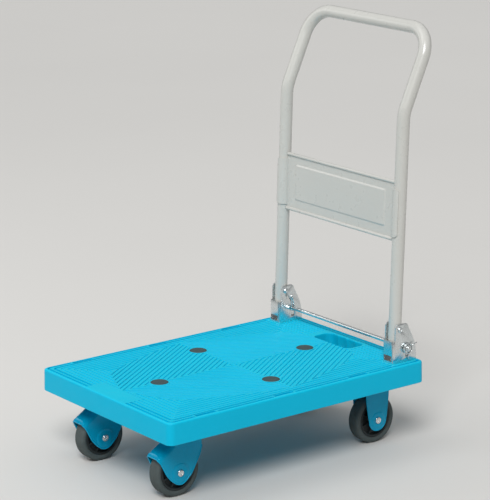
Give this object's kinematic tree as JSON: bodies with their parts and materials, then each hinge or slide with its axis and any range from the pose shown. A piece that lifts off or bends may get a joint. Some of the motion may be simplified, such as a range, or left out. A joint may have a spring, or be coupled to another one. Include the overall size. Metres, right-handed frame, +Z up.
{
  "type": "folding platform cart",
  "caption": "Platform cart with a moulded deck, a fold-down push handle with a foot-pressed lock bar, and swivel and fixed casters.",
  "frame": {"origin": "centre of the cart's box on the floor, with the handle up", "axes": "+X from the swivel casters towards the handle, +Y to the left side, +Z up"},
  "size_m": [0.6849, 0.441, 0.8581],
  "materials": {
    "deck_resin": "satin moulded resin",
    "insert_rubber": "matt rubber",
    "handle_paint": "satin light grey paint",
    "zinc_plate": "bright zinc plating",
    "caster_paint": "glossy blue paint",
    "bright_steel": "bright plated steel",
    "tyre_rubber": "matt grey rubber",
    "black_plastic": "moulded nylon"
  },
  "bodies": {
    "cart": {"deck": "deck_resin", "grip_insert_front": "insert_rubber", "grip_insert_rear": "insert_rubber", "grip_insert_left": "insert_rubber", "grip_insert_right": "insert_rubber", "hinge_bracket_right": "zinc_plate", "pivot_bolt_right": "zinc_plate", "pivot_nut_right": "zinc_plate", "bracket_screw_right_front": "zinc_plate", "bracket_screw_right_rear": "zinc_plate", "hinge_bracket_left": "zinc_plate", "pivot_bolt_left": "zinc_plate", "pivot_nut_left": "zinc_plate", "bracket_screw_left_front": "zinc_plate", "bracket_screw_left_rear": "zinc_plate", "mount_plate_right": "caster_paint", "swivel_race_right": "zinc_plate", "kingpin_right": "zinc_plate", "mount_plate_left": "caster_paint", "swivel_race_left": "zinc_plate", "kingpin_left": "zinc_plate", "fork_fixed_right": "caster_paint", "axle_fixed_right": "bright_steel", "axle_nut_fixed_right": "bright_steel", "fork_fixed_left": "caster_paint", "axle_fixed_left": "bright_steel", "axle_nut_fixed_left": "bright_steel"},
    "handle": {"handle_tube": "handle_paint", "handle_panel": "handle_paint", "tube_plug_right": "black_plastic", "tube_plug_left": "black_plastic"},
    "lock": {"lock_bar": "zinc_plate", "lock_spring_right": "zinc_plate", "lock_spring_left": "zinc_plate", "lock_collar_right": "zinc_plate", "lock_collar_left": "zinc_plate"},
    "swivel_right": {"fork_swivel_right": "caster_paint", "axle_swivel_right": "bright_steel", "axle_nut_swivel_right": "bright_steel"},
    "swivel_left": {"fork_swivel_left": "caster_paint", "axle_swivel_left": "bright_steel", "axle_nut_swivel_left": "bright_steel"},
    "wheel_swivel_right": {"tyre_swivel_right": "tyre_rubber", "wheel_core_swivel_right": "black_plastic", "wheel_bush_swivel_right": "bright_steel"},
    "wheel_swivel_left": {"tyre_swivel_left": "tyre_rubber", "wheel_core_swivel_left": "black_plastic", "wheel_bush_swivel_left": "bright_steel"},
    "wheel_fixed_right": {"tyre_fixed_right": "tyre_rubber", "wheel_core_fixed_right": "black_plastic", "wheel_bush_fixed_right": "bright_steel"},
    "wheel_fixed_left": {"tyre_fixed_left": "tyre_rubber", "wheel_core_fixed_left": "black_plastic", "wheel_bush_fixed_left": "bright_steel"}
  },
  "joints": [
    {"name": "handle_fold", "type": "hinge", "parent": "cart", "child": "handle", "pos_m": [0.24103, 0, 0.251], "axis": [0, -1, 0], "range_deg": [0, 92]},
    {"name": "lock_bar_press", "type": "slide", "parent": "cart", "child": "lock", "axis": [0, 0, -1], "range_m": [0, 0.014], "stiffness_N_per_m": 900, "springref_m": -0.006},
    {"name": "swivel_turn_right", "type": "hinge", "parent": "cart", "child": "swivel_right", "pos_m": [-0.24147, -0.1285, 0.129], "axis": [0, 0, 1], "continuous": true},
    {"name": "swivel_turn_left", "type": "hinge", "parent": "cart", "child": "swivel_left", "pos_m": [-0.24147, 0.1285, 0.129], "axis": [0, 0, 1], "continuous": true},
    {"name": "wheel_spin_swivel_right", "type": "hinge", "parent": "swivel_right", "child": "wheel_swivel_right", "pos_m": [-0.26847, -0.1285, 0.05], "axis": [0, 1, 0], "continuous": true},
    {"name": "wheel_spin_swivel_left", "type": "hinge", "parent": "swivel_left", "child": "wheel_swivel_left", "pos_m": [-0.26847, 0.1285, 0.05], "axis": [0, 1, 0], "continuous": true},
    {"name": "wheel_spin_fixed_right", "type": "hinge", "parent": "cart", "child": "wheel_fixed_right", "pos_m": [0.22753, -0.1285, 0.05], "axis": [0, 1, 0], "continuous": true},
    {"name": "wheel_spin_fixed_left", "type": "hinge", "parent": "cart", "child": "wheel_fixed_left", "pos_m": [0.22753, 0.1285, 0.05], "axis": [0, 1, 0], "continuous": true}
  ]
}
